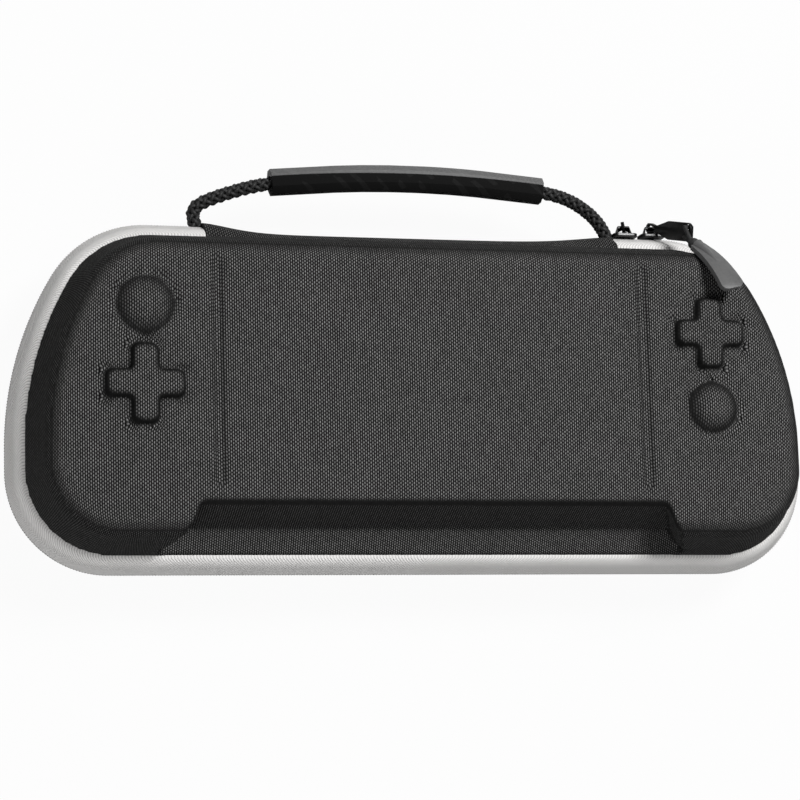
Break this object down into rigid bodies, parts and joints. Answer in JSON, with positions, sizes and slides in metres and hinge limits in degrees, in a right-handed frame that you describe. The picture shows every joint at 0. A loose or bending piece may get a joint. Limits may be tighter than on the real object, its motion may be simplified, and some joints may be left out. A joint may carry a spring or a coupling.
{
  "type": "handheld console carrying case",
  "caption": "Zipped clamshell carrying case for a handheld console, moulded fabric-covered foam with pressed controls, rope handle and inner tray.",
  "frame": {"origin": "middle of the flat back face, on which the case lies", "axes": "+X to the right as seen from the front, +Y towards the handle, +Z from the back to the front"},
  "size_m": [0.3, 0.1523, 0.0777],
  "materials": {
    "case_fabric": "charcoal woven polyester over moulded foam",
    "zip_tape": "light grey herringbone tape",
    "zip_coil": "black nylon coil",
    "lining_trim": "black binding tape",
    "rope": "black braided rope",
    "grip_rubber": "satin black rubber",
    "slider_metal": "gloss black lacquer",
    "pull_cord": "black braided cord",
    "tab_rubber": "matt dark grey rubber",
    "tray_lining": "short black flock",
    "elastic_strap": "ribbed black elastic",
    "hook_patch": "black hook and loop",
    "pocket_mesh": "black knitted mesh"
  },
  "bodies": {
    "base": {"rear_shell": "case_fabric", "rear_tape": "zip_tape", "rear_coil": "zip_coil", "rear_binding": "lining_trim", "hinge_spine": "case_fabric", "console_tray": "tray_lining", "strap": "elastic_strap", "strap_patch": "hook_patch"},
    "lid": {"front_shell": "case_fabric", "front_tape": "zip_tape", "front_coil": "zip_coil", "front_binding": "lining_trim", "mesh_pocket": "pocket_mesh", "pocket_elastic": "elastic_strap"},
    "handle": {"handle_rope": "rope", "handle_grip": "grip_rubber"},
    "first_slider": {"slider_1": "slider_metal"},
    "first_pull": {"puller_plate_1": "slider_metal", "pull_cord_1": "pull_cord", "pull_tab_1": "tab_rubber"},
    "second_slider": {"slider_2": "slider_metal"},
    "second_pull": {"puller_plate_2": "slider_metal", "pull_cord_2": "pull_cord", "pull_tab_2": "tab_rubber"}
  },
  "joints": [
    {"name": "lid_hinge", "type": "hinge", "parent": "base", "child": "lid", "pos_m": [0, 0.064, 0.029], "axis": [-1, 0, 0], "range_deg": [0, 95], "deforming": ["hinge_spine", "front_tape", "front_coil", "rear_tape", "rear_coil"]},
    {"name": "handle_swing", "type": "hinge", "parent": "base", "child": "handle", "pos_m": [0, 0.0668, 0.029], "axis": [1, 0, 0], "range_deg": [-60, 5], "stiffness_Nm_per_rad": 0.25},
    {"name": "first_slider_travel", "type": "slide", "parent": "base", "child": "first_slider", "axis": [1, 0, 0], "range_m": [0, 0.001]},
    {"name": "first_pull_swing", "type": "hinge", "parent": "first_slider", "child": "first_pull", "pos_m": [0.0844, 0.06805, 0.029], "axis": [1, 0, 0], "range_deg": [0, 35]},
    {"name": "second_slider_travel", "type": "hinge", "parent": "lid", "child": "second_slider", "pos_m": [0.09842, 0.0236, 0.029], "axis": [0, 0, 1], "range_deg": [-20, 0]},
    {"name": "second_pull_swing", "type": "hinge", "parent": "second_slider", "child": "second_pull", "pos_m": [0.0953, 0.06805, 0.029], "axis": [-1, 0, 0], "range_deg": [0, 40]}
  ]
}
